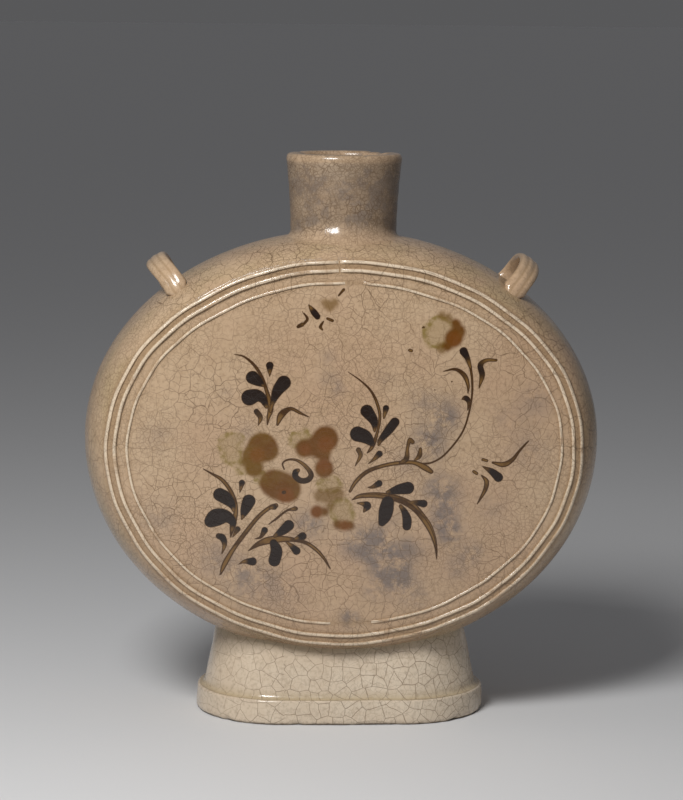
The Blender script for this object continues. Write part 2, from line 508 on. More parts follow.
def tuck(depth, down):
    """How far the skin is tucked in at a depth from the seam; down is 1 at the lowest place."""
    share = np.clip((skin_radius(depth) - TUCK_START) / TUCK_RUN, 0, 1)
    return UNDER_TUCK * share * (depth / EDGE_DEPTH) ** 2 * np.clip(down, 0, 1) ** 4


def lump_share(depth):
    """How much of the unevenness reaches a depth: all of it on the faces, none at the seam."""
    return np.clip(depth / EDGE_DEPTH, 0, 1) ** 4


def lumps(x, z):
    """Slow unevenness of a face at a place on it."""
    u, v = x / BODY_HALF_WIDTH, (z - BODY_LEVEL) / BODY_HALF_WIDTH
    return LUMP * (np.sin(5.1 * u + 2.3 * v + 0.4) * np.cos(3.7 * v - 1.9 * u)
                   + 0.6 * np.sin(8.3 * v + 1.1) * np.sin(7.1 * u + 2.0))


def reach_up(rise):
    """Half height of the body on the side, above or below, that a height lies on."""
    return np.where(rise > 0, BODY_RISE, BODY_DROP)


def oval_rings(profile, angles, side, inset=0.0):
    """Rings of a body surface from (radius, depth) rows; side is -1 for the front, 1 for the rear."""
    radius, depth = profile[:, 0][:, None], profile[:, 1][:, None]
    sine, cosine = np.sin(angles)[None, :], np.cos(angles)[None, :]
    radius = radius - (0 if inset else tuck(depth, -sine))
    x = radius * cosine
    z = BODY_LEVEL + radius * sine * (reach_up(sine) - inset) / (BODY_HALF_WIDTH - inset)
    y = side * (depth + lumps(x, z) * lump_share(depth))
    return np.stack([x, y, z], axis=2)


def crown_height(x, y):
    """Level of the top of the body over a place near the neck."""
    return BODY_LEVEL + BODY_RISE / BODY_HALF_WIDTH * np.sqrt(skin_radius(y) ** 2 - x ** 2)


def underside_height(x, y):
    """Level of the underside of the body over a place on the foot."""
    radius = skin_radius(y)
    radius = radius - tuck(y, np.sqrt(1 - (x / radius) ** 2))
    return BODY_LEVEL - BODY_DROP / BODY_HALF_WIDTH * np.sqrt(radius ** 2 - x ** 2)


def full_turn(columns):
    """Even angles once round."""
    return np.linspace(0, 2 * math.pi, columns, endpoint=False)


def half_step_turn(columns):
    """Even angles once round that start half a step on, so that no point lies on the middle line."""
    return full_turn(columns) + math.pi / columns


def level_ring(turn, radius, level):
    """A ring round the upright axis of the flask."""
    return np.stack([radius * np.cos(turn), radius * np.sin(turn), level + 0 * turn], axis=1)


def waves(kind, angle, shift=0.0):
    """Sum of the small waves of a kind round a ring; their twist follows the shift."""
    total = np.zeros_like(angle)
    for count, phase, twist, share in WAVES[kind]:
        total = total + share * np.sin(count * angle + phase + twist * shift)
    return total


def dents(turn, chips):
    """Sum of small hollows round a ring, from (angle, width, depth) rows."""
    total = np.zeros_like(turn)
    for place, width, depth in chips:
        away = np.angle(np.exp(1j * (turn - place)))
        total += depth * np.exp(-(away / width) ** 2)
    return total


# Meshes

def ring_mesh(name, rings, closed_rows=False, first_point=None, last_point=None):
    """A smooth mesh from rows of closed rings, with a cap or a middle point at each open end."""
    rows, columns, _ = rings.shape
    row_count = rows if closed_rows else rows - 1
    low = (np.arange(row_count)[:, None] * columns + np.arange(columns)[None, :]).ravel()
    step = np.tile(np.arange(columns), row_count)
    low_next = low - step + (step + 1) % columns
    high = (low + columns) % (rows * columns)
    high_next = (low_next + columns) % (rows * columns)
    faces = np.stack([low, low_next, high_next, high], axis=1).tolist()
    points = rings.reshape(-1, 3).tolist()
    ends = [] if closed_rows else [(0, first_point), ((rows - 1) * columns, last_point)]
    for start, middle in ends:
        ring = list(range(start, start + columns))
        if middle is None:
            faces.append(ring)
            continue
        points.append(list(middle))
        faces += [[here, following, len(points) - 1] for here, following in zip(ring, ring[1:] + ring[:1])]
    mesh = bpy.data.meshes.new(name)
    mesh.from_pydata(points, [], faces)
    build = bmesh.new()
    build.from_mesh(mesh)
    bmesh.ops.recalc_face_normals(build, faces=build.faces)
    build.to_mesh(mesh)
    build.free()
    soften(mesh)
    return mesh


def soften(mesh):
    """Shades the mesh smooth, except over sharp edges."""
    mesh.shade_smooth()
    mesh.set_sharp_from_angle(angle=SHARP_ANGLE)


def mesh_points(mesh):
    """The mesh's points as an array."""
    flat = np.zeros(len(mesh.vertices) * 3, np.float32)
    mesh.vertices.foreach_get("co", flat)
    return flat.reshape(-1, 3).astype(float)


def set_number(mesh, name, values):
    """Stores one number for each point of the mesh."""
    attribute = mesh.attributes.new(name, "FLOAT", "POINT")
    attribute.data.foreach_set("value", np.asarray(values, np.float32))


def lay_flat_body(mesh):
    """Stores where each point lies on the body's skin when that is pressed flat."""
    points = mesh_points(mesh)
    x, rise = points[:, 0], points[:, 2] - BODY_LEVEL
    radius = np.maximum(np.hypot(x, rise * BODY_HALF_WIDTH / reach_up(rise)), TINY)
    spread = np.minimum(radius, edge_radius) + np.maximum(EDGE_DEPTH - np.abs(points[:, 1]), 0)
    flat = np.stack([x * spread / radius, rise * spread / radius, 0 * x], axis=1)
    attribute = mesh.attributes.new("flat", "FLOAT_VECTOR", "POINT")
    attribute.data.foreach_set("vector", flat.astype(np.float32).ravel())


def lay_flat_rings(mesh, rings, piece):
    """Stores where each corner lies on the unrolled surface of a ring mesh, away from other pieces."""
    rows, columns, _ = rings.shape
    closed = np.concatenate([rings, rings[:, :1]], axis=1)
    across = np.concatenate([[0], np.linalg.norm(np.diff(closed, axis=1), axis=2).mean(0).cumsum()])
    along = np.concatenate([[0], np.linalg.norm(np.diff(rings, axis=0), axis=2).mean(1).cumsum()])
    corner_point = np.zeros(len(mesh.loops), np.int32)
    mesh.loops.foreach_get("vertex_index", corner_point)
    starts = np.zeros(len(mesh.polygons), np.int32)
    mesh.polygons.foreach_get("loop_start", starts)
    counts = np.diff(np.append(starts, len(mesh.loops)))
    row, column = np.divmod(corner_point, columns)
    widest = np.repeat(np.maximum.reduceat(column, starts), counts)
    column = np.where((widest == columns - 1) & (column == 0), columns, column)
    along_rows = along[np.minimum(row, rows - 1)]
    flat = np.stack([across[column] + FLAT_PLACES[piece], along_rows, 0 * along_rows], axis=1)
    attribute = mesh.attributes.new("flat", "FLOAT_VECTOR", "CORNER")
    attribute.data.foreach_set("vector", flat.astype(np.float32).ravel())


def put_in_scene(name, data):
    """A new object in the scene."""
    item = bpy.data.objects.new(name, data)
    bpy.context.scene.collection.objects.link(item)
    return item


def add_piece(name, mesh, material, node):
    """Puts a piece into the scene in place of its solid."""
    piece = put_in_scene(name, mesh)
    mesh.materials.clear()
    mesh.materials.append(material)
    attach(piece, "root")
    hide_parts(node)


# Brush work: how deep each point of the face lies inside the strokes

def smooth_line(points):
    """A line through the points as a chain of short runs."""
    line = np.array(points, float)
    padded = np.vstack([2 * line[0] - line[1], line, 2 * line[-1] - line[-2]])
    chain = []
    for index in range(len(line) - 1):
        p0, p1, p2, p3 = padded[index:index + 4]
        for t in np.arange(STROKE_PIECES) / STROKE_PIECES:
            chain.append(0.5 * (2 * p1 + (p2 - p0) * t + (2 * p0 - 5 * p1 + 4 * p2 - p3) * t ** 2
                                + (3 * p1 - p0 - 3 * p2 + p3) * t ** 3))
    chain.append(line[-1])
    return np.array(chain)


def stroke_depth(places, strokes):
    """Depth inside the nearest stroke, negative outside, and that stroke's half width, in brush steps."""
    depth = np.full(len(places), -BRUSH_MARGIN)
    load = np.zeros(len(places))
    for points in strokes.values():
        chain = smooth_line(points)
        low, high = chain[:, :2].min(0) - BRUSH_MARGIN, chain[:, :2].max(0) + BRUSH_MARGIN
        near = np.where(np.all((places > low) & (places < high), axis=1))[0]
        spot = places[near]
        for start, end in zip(chain[:-1], chain[1:]):
            run = end[:2] - start[:2]
            share = np.clip((spot - start[:2]) @ run / (run @ run + TINY), 0, 1)
            gap = np.linalg.norm(spot - start[:2] - share[:, None] * run, axis=1)
            width = start[2] + share * (end[2] - start[2])
            better = width - gap > depth[near]
            depth[near[better]] = (width - gap)[better]
            load[near[better]] = width[better]
    return depth, load


def dab_depth(places, dabs):
    """Depth inside softly joined dabs in brush steps, negative outside."""
    total = np.full(len(places), math.exp(-BRUSH_MARGIN / DAB_JOIN))
    for right, up, radius in dabs:
        gap = np.hypot(places[:, 0] - right, places[:, 1] - up)
        total += np.exp(np.clip((radius - gap) / DAB_JOIN, -DAB_LIMIT, DAB_LIMIT))
    return DAB_JOIN * np.log(total)


def stain_strength(places):
    """Strength of the stains at each place."""
    strength = np.zeros(len(places))
    for right, up, radius, share in STAINS:
        gap = ((places[:, 0] - right) ** 2 + (places[:, 1] - up) ** 2) / (STAIN_SPREAD * radius) ** 2
        strength += share * np.exp(-gap)
    return np.clip(strength, 0, STAIN_LIMIT)


def brush_places(points):
    """Places on the face in brush steps from its middle."""
    return np.stack([points[:, 0], points[:, 2] - BODY_LEVEL], axis=1) / BRUSH_STEP


def refine_strokes(mesh):
    """Cuts the face finer along the strokes, so that thin lines stay sharp."""
    points = mesh_points(mesh)
    places = brush_places(points)
    near = np.maximum(stroke_depth(places, LEAVES)[0], stroke_depth(places, STEMS)[0]) > -REFINE_MARGIN
    near &= points[:, 1] < -EDGE_DEPTH
    build = bmesh.new()
    build.from_mesh(mesh)
    build.verts.ensure_lookup_table()
    edges = [edge for edge in build.edges if all(near[point.index] for point in edge.verts)]
    bmesh.ops.subdivide_edges(build, edges=edges, cuts=STROKE_CUTS, use_grid_fill=True)
    build.to_mesh(mesh)
    build.free()


def paint_face(mesh):
    """Stores the brush work on the points of the front face."""
    points = mesh_points(mesh)
    on_face = points[:, 1] < -(EDGE_DEPTH - DOME_RISE / 2)
    places = brush_places(points)
    leaf, load = stroke_depth(places, LEAVES)
    depths = {"leaf": leaf, "stem": stroke_depth(places, STEMS)[0], "petal": dab_depth(places, BROWN_DABS),
              "faint": dab_depth(places, FAINT_DABS), "olive": dab_depth(places, OLIVE_DABS),
              "orange": dab_depth(places, ORANGE_DABS)}
    for name, values in depths.items():
        set_number(mesh, name, np.where(on_face, values, -BRUSH_MARGIN))
    set_number(mesh, "load", load)
    set_number(mesh, "stain", np.where(on_face, stain_strength(places), 0))


def border_inset(points):
    """How far in from the widest outline each point lies, as the borders are laid out."""
    x, rise = np.abs(points[:, 0]), points[:, 2] - BODY_LEVEL
    reach, rise = reach_up(rise), np.abs(rise)
    low, high = np.zeros(len(points)), np.full(len(points), DEEPEST_INSET)
    for _ in range(INSET_HALVINGS):
        middle = (low + high) / 2
        inside = (x / (BODY_HALF_WIDTH - middle)) ** 2 + (rise / (reach - middle)) ** 2 < 1
        low, high = np.where(inside, middle, low), np.where(inside, high, middle)
    return low


def pool_face(mesh):
    """Stores where glaze pools beside the raised borders, and what lies outside them."""
    points = mesh_points(mesh)
    inset = border_inset(points)
    half = STRIP_SPACING / 2 + RIDGE_HALF_WIDTH / 2
    strip = np.exp(-(np.maximum(np.abs(inset - STRIP_INSET) - half, 0) / POOL_REACH) ** 2)
    thread = THREAD_POOL * np.exp(-((inset - THREAD_INSET) / POOL_REACH) ** 2)
    set_number(mesh, "pool", np.maximum(strip, thread))
    set_number(mesh, "side", np.clip((STRIP_INSET - inset) / STRIP_SPACING, 0, 1))


# Materials

class Graph:
    """A short way to write a material's nodes."""

    def __init__(self, name):
        self.material = bpy.data.materials.new(name)
        self.material.use_nodes = True
        self.tree = self.material.node_tree
        self.shader = self.tree.nodes["Principled BSDF"]
        self.place = self.node("ShaderNodeTexCoord").outputs["Object"]
        self.flat = self.node("ShaderNodeAttribute", {"attribute_name": "flat"}).outputs["Vector"]

    def node(self, kind, settings=None, **inputs):
        """Adds a node, sets its options, and links or sets its inputs by name or number."""
        made = self.tree.nodes.new(kind)
        for key, value in (settings or {}).items():
            setattr(made, key, value)
        for key, value in inputs.items():
            socket = made.inputs[int(key[1:])] if key[1:].isdigit() else made.inputs[key.replace("_", " ")]
            self.put(socket, value)
        return made

    def put(self, socket, value):
        """Links a socket to another one, or sets its value."""
        if isinstance(value, bpy.types.NodeSocket):
            self.tree.links.new(value, socket)
        else:
            socket.default_value = value

    def noise(self, size, detail, rough):
        """Noise with features of about this size."""
        return self.node("ShaderNodeTexNoise", Vector=self.place, Scale=1 / size,
                         Detail=detail, Roughness=rough).outputs["Fac"]

    def ramp(self, value, start, end):
        """0 at start and 1 at end, smooth between."""
        made = self.node("ShaderNodeMapRange", {"interpolation_type": "SMOOTHSTEP"}, Value=value,
                         From_Min=start, From_Max=end)
        return made.outputs["Result"]

    def patches(self, kind, unit=1.0):
        """1 in the patches of a kind, 0 between them; unit is what their size is a share of."""
        size, detail, rough, start, end = PATCHES[kind]
        return self.ramp(self.noise(size * unit, detail, rough), start, end)

    def edge(self, value, kind):
        """0 where a kind starts and 1 where it is full."""
        return self.ramp(value, *EDGES[kind])

    def tint(self, colour, kind, tint, *where):
        """The colour tinted where all of these say, as strongly as the kind shows."""
        return self.mix(self.times(*where, SHOWS[kind]), colour, tint)

    def math(self, operation, first, second):
        """Two numbers combined."""
        return self.node("ShaderNodeMath", {"operation": operation}, i0=first, i1=second).outputs[0]

    def vector(self, operation, **inputs):
        """Places or ways combined."""
        return self.node("ShaderNodeVectorMath", {"operation": operation}, **inputs).outputs[0]

    def times(self, *values):
        """Numbers multiplied."""
        total = values[0]
        for value in values[1:]:
            total = self.math("MULTIPLY", total, value)
        return total

    def mix(self, share, first, second):
        """Two colours mixed."""
        made = self.node("ShaderNodeMix", {"data_type": "RGBA"}, i0=share, i6=first, i7=second)
        return made.outputs[2]

    def number(self, name):
        """A number stored on the mesh."""
        return self.node("ShaderNodeAttribute", {"attribute_name": name}).outputs["Fac"]

    def warped(self, size, reach):
        """Flat places pushed about by noise, so that lines bend."""
        noise = self.node("ShaderNodeTexNoise", Vector=self.flat, Scale=1 / size, Detail=BEND_DETAIL)
        push = self.vector("SUBTRACT", i0=noise.outputs["Color"], i1=(0.5, 0.5, 0.5))
        return self.vector("ADD", i0=self.flat, i1=self.vector("SCALE", i0=push, Scale=reach))

    def cracks(self, cell, line, place):
        """1 on the crack lines of a net with cells of this size, 0 off them."""
        settings = {"feature": "DISTANCE_TO_EDGE", "voronoi_dimensions": "2D"}
        net = self.node("ShaderNodeTexVoronoi", settings, Vector=place, Scale=1 / cell, Randomness=1.0)
        return self.ramp(net.outputs["Distance"], line / cell, CRACK_CORE * line / cell)


def crack_net(graph, kind, cell, line, stiffness=0.0):
    """One of the three crack nets of a glaze; stiffness takes some of its bends away."""
    cell_share, line_share, bend, reach = CRACK_NETS[kind]
    place = graph.warped(bend * cell, (reach - stiffness) * cell)
    return graph.cracks(cell_share * cell, line_share * line, place)


def crackle(graph, cell, line, strength, patch, whole):
    """Crack lines in three sizes that fade in and out; a net that isn't whole breaks off in places."""
    fade = graph.times(graph.patches("crack_fade", patch), 1 - LEAST_FADE)
    fade = graph.math("ADD", fade, LEAST_FADE)
    wide = graph.times(crack_net(graph, "wide", cell, line), fade, 1 - whole)
    unbroken = graph.math("MAXIMUM", graph.patches("crack_break", cell), whole)
    main = crack_net(graph, "main", cell, line, WHOLE_STIFFNESS * whole)
    main = graph.times(main, fade, unbroken, SHOWS["main_cracks"])
    fine = graph.times(crack_net(graph, "fine", cell, line), graph.patches("fine_crack_fade", patch),
                       SHOWS["fine_cracks"] * (1 - whole / 2))
    lines = graph.math("MAXIMUM", graph.math("MAXIMUM", wide, main), fine)
    return graph.times(lines, strength)


def finish_glaze(graph, colour, lines, roughness=GLAZE_ROUGHNESS):
    """Joins the colour to the shader with a glassy, slightly uneven surface."""
    shader = graph.shader
    graph.put(shader.inputs["Base Color"], colour)
    shader.inputs["IOR"].default_value = GLAZE_IOR
    worn = graph.times(graph.patches("worn"), SHOWS["worn"])
    dull = graph.math("ADD", worn, graph.times(lines, CRACK_DULLNESS))
    graph.put(shader.inputs["Roughness"], graph.math("ADD", dull, roughness))
    swell = graph.times(graph.noise(*SWELL_NOISE), SWELL_SHARE)
    height = graph.math("SUBTRACT", swell, graph.times(lines, CRACK_SINK_SHARE))
    bump = graph.node("ShaderNodeBump", Height=height, Strength=RELIEF_STRENGTH, Distance=SWELL_HEIGHT)
    graph.put(shader.inputs["Normal"], bump.outputs["Normal"])
    return graph.material


def glaze_ground(graph, deep, mid, pale):
    """Cloudy ground colour of a glaze with small dark pits."""
    ground = graph.mix(graph.patches("cloud"), mid, pale)
    ground = graph.tint(ground, "mottle", deep, graph.patches("mottle"))
    ground = graph.tint(ground, "speckle", CRACK_BROWN, graph.patches("speckle"))
    spots = graph.node("ShaderNodeTexVoronoi", {"feature": "F1"}, Vector=graph.place,
                       Scale=1 / PIT_SPACING).outputs["Distance"]
    return graph.tint(ground, "pit", CRACK_BROWN, graph.edge(spots, "pit"), graph.patches("pitted"))


def body_glaze(painted):
    """Tan crackle glaze of the body; the painted one carries the brush work and the stains."""
    graph = Graph("body_glaze_painted" if painted else "body_glaze_plain")
    colour = glaze_ground(graph, *TANS)
    if painted:
        colour = graph.tint(colour, "stain", STAIN_GREY, graph.number("stain"), graph.patches("stain"))
    side = graph.number("side")
    gain = graph.math("ADD", graph.times(side, SIDE_CRACK_GAIN), 1.0)
    lines = graph.times(crackle(graph, **CRACKLE["body"]), gain)
    colour = graph.tint(colour, "tinge", POOL_OLIVE, side, graph.patches("tinge"))
    colour = graph.tint(colour, "pool", POOL_BROWN, graph.number("pool"))
    colour = graph.mix(lines, colour, CRACK_BROWN)
    if painted:
        for layer in (paint_washes, paint_petals, paint_stems, paint_leaves):
            colour = layer(graph, colour)
    return finish_glaze(graph, colour, lines)


def brush_wander(graph):
    """How far the edge of the thin paint strays, in brush steps."""
    return graph.times(graph.math("SUBTRACT", graph.noise(*WANDER_NOISE), 0.5), WANDER_REACH)


def paint_washes(graph, colour):
    """Olive washes that gather at their rims, and faint petals."""
    wander = brush_wander(graph)
    olive = graph.math("ADD", graph.number("olive"), wander)
    rim = graph.times(graph.edge(olive, "olive_rim"), graph.edge(olive, "olive_middle"),
                      graph.patches("paint_grain"), SHOWS["olive_rim"])
    wash = graph.times(graph.edge(olive, "olive_wash"), SHOWS["olive_wash"])
    colour = graph.mix(graph.math("ADD", wash, rim), colour, OLIVE)
    faint = graph.math("ADD", graph.number("faint"), graph.times(wander, FAINT_WANDER_SHARE))
    return graph.tint(colour, "faint_petal", PETAL_OLIVE, graph.edge(faint, "faint_petal"))


def paint_petals(graph, colour):
    """Brown petals, olive in places and orange in others."""
    wander = graph.times(brush_wander(graph), PETAL_WANDER_SHARE)
    petal = graph.edge(graph.math("ADD", graph.number("petal"), wander), "petal")
    orange = graph.edge(graph.number("orange"), "orange_petal")
    paint = graph.mix(graph.patches("olive_petal"), PETAL_BROWN, PETAL_OLIVE)
    paint = graph.tint(paint, "orange_petal", PETAL_ORANGE, orange)
    cover = graph.math("ADD", graph.times(graph.patches("paint_grain"), 1 - LEAST_COVER), LEAST_COVER)
    return graph.mix(graph.times(petal, cover), colour, paint)


def paint_stems(graph, colour):
    """Brown stems with a golden middle."""
    stem = graph.number("stem")
    gold = graph.times(graph.edge(stem, "stem_gold"), graph.patches("stem_gold"))
    return graph.mix(graph.edge(stem, "stroke"), colour, graph.mix(gold, INK_BROWN, STEM_GOLD))


def paint_leaves(graph, colour):
    """Black leaves, golden where the stroke is thin."""
    leaf, load = graph.number("leaf"), graph.number("load")
    black = graph.times(graph.edge(load, "black_load"), graph.edge(leaf, "black_middle"))
    ink = graph.mix(black, INK_BROWN, INK_BLACK)
    ink = graph.tint(ink, "leaf_gold", STEM_GOLD, graph.edge(load, "gold_load"),
                     graph.edge(leaf, "gold_middle"), graph.patches("leaf_gold"))
    return graph.mix(graph.edge(leaf, "stroke"), colour, ink)


def neck_glaze():
    """Greyer mottled glaze of the neck with a fine crackle, clearing to tan at the root and the lip."""
    graph = Graph("neck_glaze")
    colour = glaze_ground(graph, *NECK_GREYS)
    colour = graph.tint(colour, "neck_patch", NECK_BLUE, graph.patches("neck_patch"))
    clear = graph.number("clear")
    colour = graph.mix(clear, colour, glaze_ground(graph, *TANS))
    lines = graph.times(crackle(graph, **CRACKLE["neck"]), graph.edge(clear, "neck_cracks"))
    return finish_glaze(graph, graph.mix(lines, colour, CRACK_BROWN), lines)


def lug_glaze():
    """Body glaze on the lugs, browner in the grooves between the reeds."""
    graph = Graph("lug_glaze")
    lines = crackle(graph, **CRACKLE["lug"])
    colour = graph.mix(lines, glaze_ground(graph, *TANS), CRACK_BROWN)
    groove = graph.edge(graph.number("crest"), "lug_groove")
    colour = graph.tint(colour, "lug_groove", POOL_BROWN, groove)
    return finish_glaze(graph, colour, lines, RAISED_ROUGHNESS)


def border_glaze():
    """Glaze over the raised lines: thin and pale on the crests, brown where it pools."""
    graph = Graph("border_glaze")
    colour = glaze_ground(graph, *TANS)
    crest = graph.number("crest")
    colour = graph.tint(colour, "ridge_pool", POOL_BROWN, graph.edge(crest, "ridge_pool"))
    colour = graph.tint(colour, "ridge_cream", RIDGE_CREAM, graph.edge(crest, "ridge_cream"),
                        graph.patches("crest"))
    lines = crackle(graph, **CRACKLE["body"])
    return finish_glaze(graph, graph.mix(lines, colour, CRACK_BROWN), lines, RAISED_ROUGHNESS)


def foot_glaze():
    """Cream glaze of the foot with a wide open crackle, worn to bare clay along its lowest edge."""
    graph = Graph("foot_glaze")
    lines = crackle(graph, **CRACKLE["foot"])
    colour = graph.tint(glaze_ground(graph, *FOOT_CREAMS), "foot_pool", POOL_OLIVE, graph.number("pool"))
    colour = graph.mix(lines, colour, CRACK_BROWN)
    level = graph.node("ShaderNodeSeparateXYZ", Vector=graph.place).outputs["Z"]
    ragged = graph.math("ADD", level, graph.times(graph.noise(*BARE_NOISE), BARE_RAGGED))
    bare = graph.ramp(ragged, BARE_FADE * BARE_LEVEL, BARE_LEVEL)
    return finish_glaze(graph, graph.mix(bare, colour, BARE_CLAY), graph.math("MAXIMUM", lines, bare))


# Pieces of the body

def cavity_profile(rows):
    """(radius, depth) rows of the inside of a shell, from the seam to the middle of the face."""
    side_depth = np.linspace(SEAM_HALF, EDGE_DEPTH - 2 * WALL, rows)
    side = np.stack([side_radius(side_depth, WALL), side_depth], axis=1)
    face_radius = np.linspace(edge_radius - 2 * WALL, 0, rows + 1)[:-1]
    face = np.stack([face_radius, dome_depth(face_radius, WALL)], axis=1)
    return np.vstack([side, face])


def bored(name, mesh):
    """The mesh with the way through the neck cut out of it."""
    turn = full_turn(BORE_COLUMNS)
    rings = np.stack([level_ring(turn, BORE_RADIUS, crown_level - BORE_BELOW),
                      level_ring(turn, BORE_RADIUS, crown_level + BORE_ABOVE)])
    body = put_in_scene(name + "_whole", mesh)
    cutter = put_in_scene(name + "_bore", ring_mesh(name + "_bore", rings))
    cut = body.modifiers.new("bore", "BOOLEAN")
    cut.operation = "DIFFERENCE"
    cut.solver = "EXACT"
    cut.object = cutter
    bpy.context.view_layer.update()
    result = bpy.data.meshes.new_from_object(body.evaluated_get(bpy.context.evaluated_depsgraph_get()))
    for item in (body, cutter):
        bpy.data.objects.remove(item)
    result.name = name
    return result


def make_shell(face, side, material):
    """One dished half of the body, with its inside; the front one is painted."""
    name = "pressed_%s_shell" % face
    fineness = dict(SHELL_FINENESS[face])
    angles = half_step_turn(fineness.pop("columns"))
    outside = oval_rings(shell_profile(**fineness), angles, side)
    inside = oval_rings(cavity_profile(CAVITY_ROWS), angles, side, WALL)
    middle_lump = lumps(np.zeros(1), np.full(1, BODY_LEVEL))[0]
    outer_middle = (0, side * (face_depth_middle + middle_lump), BODY_LEVEL)
    inner_middle = (0, side * (face_depth_middle - WALL), BODY_LEVEL)
    whole = ring_mesh(name, np.concatenate([outside, inside]), first_point=outer_middle,
                      last_point=inner_middle)
    mesh = bored(name, whole)
    if face == "front":
        refine_strokes(mesh)
        paint_face(mesh)
    pool_face(mesh)
    lay_flat_body(mesh)
    soften(mesh)
    add_piece(name, mesh, material, face + "_shell")


def make_seam(material):
    """The joining clay: flush outside, with the band squeezed out inside."""
    angles = half_step_turn(SEAM_COLUMNS)
    inner = WALL + SEAM_BAND
    outline = [(-SEAM_HALF, 0.0), (SEAM_HALF, 0.0), (SEAM_HALF, WALL), (SEAM_BAND_HALF, WALL),
               (SEAM_BAND_HALF - SEAM_HALF, inner), (SEAM_HALF - SEAM_BAND_HALF, inner),
               (-SEAM_BAND_HALF, WALL), (-SEAM_HALF, WALL)]
    rows = [oval_rings(np.array([[side_radius(depth, inset), 0.0]]), angles, 1, inset) + (0, depth, 0)
            for depth, inset in outline]
    mesh = bored("joined_seam", ring_mesh("joined_seam", np.concatenate(rows), closed_rows=True))
    pool_face(mesh)
    lay_flat_body(mesh)
    soften(mesh)
    add_piece("joined_seam", mesh, material, "seam_slip")


# Neck

def neck_seat(turn, radius):
    """Level of the body under a ring of the neck."""
    return crown_height(radius * np.cos(turn), radius * np.sin(turn))


def neck_bore_rows(turn):
    """(radius, level, clearness of the glaze) rows up the bore."""
    seat = neck_seat(turn, BORE_RADIUS)
    rows = [(BORE_RADIUS, seat - SEAT_DEPTH, 0.0)]
    for share in np.linspace(0, 1, BORE_ROWS + 1)[1:]:
        rows.append((BORE_RADIUS, seat + share * (lip_level - seat), share ** 2))
    return rows


def neck_lip_rows(turn, lean):
    """Rows over the rounded lip, with its worn places."""
    middle, half = (RIM_RADIUS + BORE_RADIUS) / 2, (RIM_RADIUS - BORE_RADIUS) / 2
    chips = dents(turn, RIM_CHIPS)
    rows = []
    for angle in np.linspace(LIP_START, LIP_END, LIP_ROWS):
        out = math.copysign(abs(math.cos(angle)) ** LIP_BLUNT_ACROSS, math.cos(angle))
        swell = math.sin(angle) ** LIP_BLUNT_UP
        rows.append((middle + half * out + lean, lip_level + (LIP_RISE - chips) * swell, LIP_CLEARNESS))
    return rows


def neck_wall_rows(turn, lean, fillet):
    """Rows down the outside, from the lip to the smoothed root."""
    low = neck_seat(turn, ROOT_RADIUS) + fillet
    rows = []
    for share in np.linspace(1, 0, TUBE_ROWS):
        bow = 4 * share * (1 - share) * (WAIST_RADIUS - (ROOT_RADIUS + RIM_RADIUS) / 2)
        ripple = NECK_RIPPLE * np.sin(RIPPLE_COUNT * share + RIPPLE_SLANT * np.sin(turn))
        lean_share = ROOT_LEAN_SHARE + (1 - ROOT_LEAN_SHARE) * share
        flare = share * (RIM_RADIUS - ROOT_RADIUS) + lean_share * lean
        clear = max(0.0, CLEAR_RISE * share - CLEAR_START)
        rows.append((ROOT_RADIUS + flare + bow + ripple, low + share * (lip_level - low), clear))
    return rows


def neck_root_rows(turn, lean, fillet):
    """Rows over the smoothed root and in under it."""
    rows = []
    for angle in np.linspace(0, 90, ROOT_ROWS + 1)[1:] * DEG:
        width = ROOT_FILLET_SHARE * fillet * (1 - math.cos(angle))
        radius = ROOT_RADIUS + ROOT_LEAN_SHARE * lean + width
        rows.append((radius, neck_seat(turn, radius) + fillet * (1 - math.sin(angle)), math.sin(angle)))
    rows.append((ROOT_RADIUS, neck_seat(turn, ROOT_RADIUS) - SEAT_DEPTH, 1.0))
    return rows


def make_neck(material):
    """A thrown tube with a soft lip, smoothed on to the crown of the body."""
    turn = full_turn(NECK_COLUMNS)
    lean = NECK_LEAN * waves("neck", turn)
    fillet = ROOT_FILLET_SIDE + (ROOT_FILLET_FACE - ROOT_FILLET_SIDE) * np.sin(turn) ** 2
    rows = neck_bore_rows(turn) + neck_lip_rows(turn, lean)
    rows += neck_wall_rows(turn, lean, fillet) + neck_root_rows(turn, lean, fillet)
    rings = np.stack([level_ring(turn, radius, level) for radius, level, _ in rows])
    mesh = ring_mesh("thrown_neck", rings, closed_rows=True)
    set_number(mesh, "clear", np.repeat([clear for _, _, clear in rows], NECK_COLUMNS))
    lay_flat_rings(mesh, rings, "neck")
    add_piece("thrown_neck", mesh, material, "neck")


# Foot

def stadium(half_width, half_depth, columns):
    """Points round an outline with straight sides and half round ends."""
    straight = half_width - half_depth
    run = np.linspace(-1, 1, columns // 4, endpoint=False)
    bow = run * math.pi / 2
    right = np.stack([straight + half_depth * np.cos(bow), half_depth * np.sin(bow)], axis=1)
    front = np.stack([run * straight, -half_depth + 0 * run], axis=1)
    return np.concatenate([front, right, -front, -right])


def foot_ring(inset, level, columns):
    """One level ring of the foot, this far in from the foot of the collar."""
    outline = stadium(COLLAR_HALF_WIDTH - inset, COLLAR_HALF_DEPTH - inset, columns)
    return np.concatenate([outline, np.full((len(outline), 1), level)], axis=1)


def pushed(rings, push):
    """The rings moved outward by a length for each point."""
    turn = np.arctan2(rings[..., 1], rings[..., 0])
    return rings + np.stack([push * np.cos(turn), push * np.sin(turn), 0 * turn], axis=-1)


def hand_cut(rings):
    """The rings pushed slightly in and out, as hand-cut clay is."""
    turn = np.arctan2(rings[..., 1], rings[..., 0])
    rise = rings[..., 2] / PLINTH_HEIGHT
    return pushed(rings, FOOT_WANDER * waves("foot", turn, rise))


def collar_lean(level):
    """How far the wall of the collar leans in at a level."""
    return COLLAR_LEAN * (level - PLINTH_HEIGHT) / COLLAR_RISE


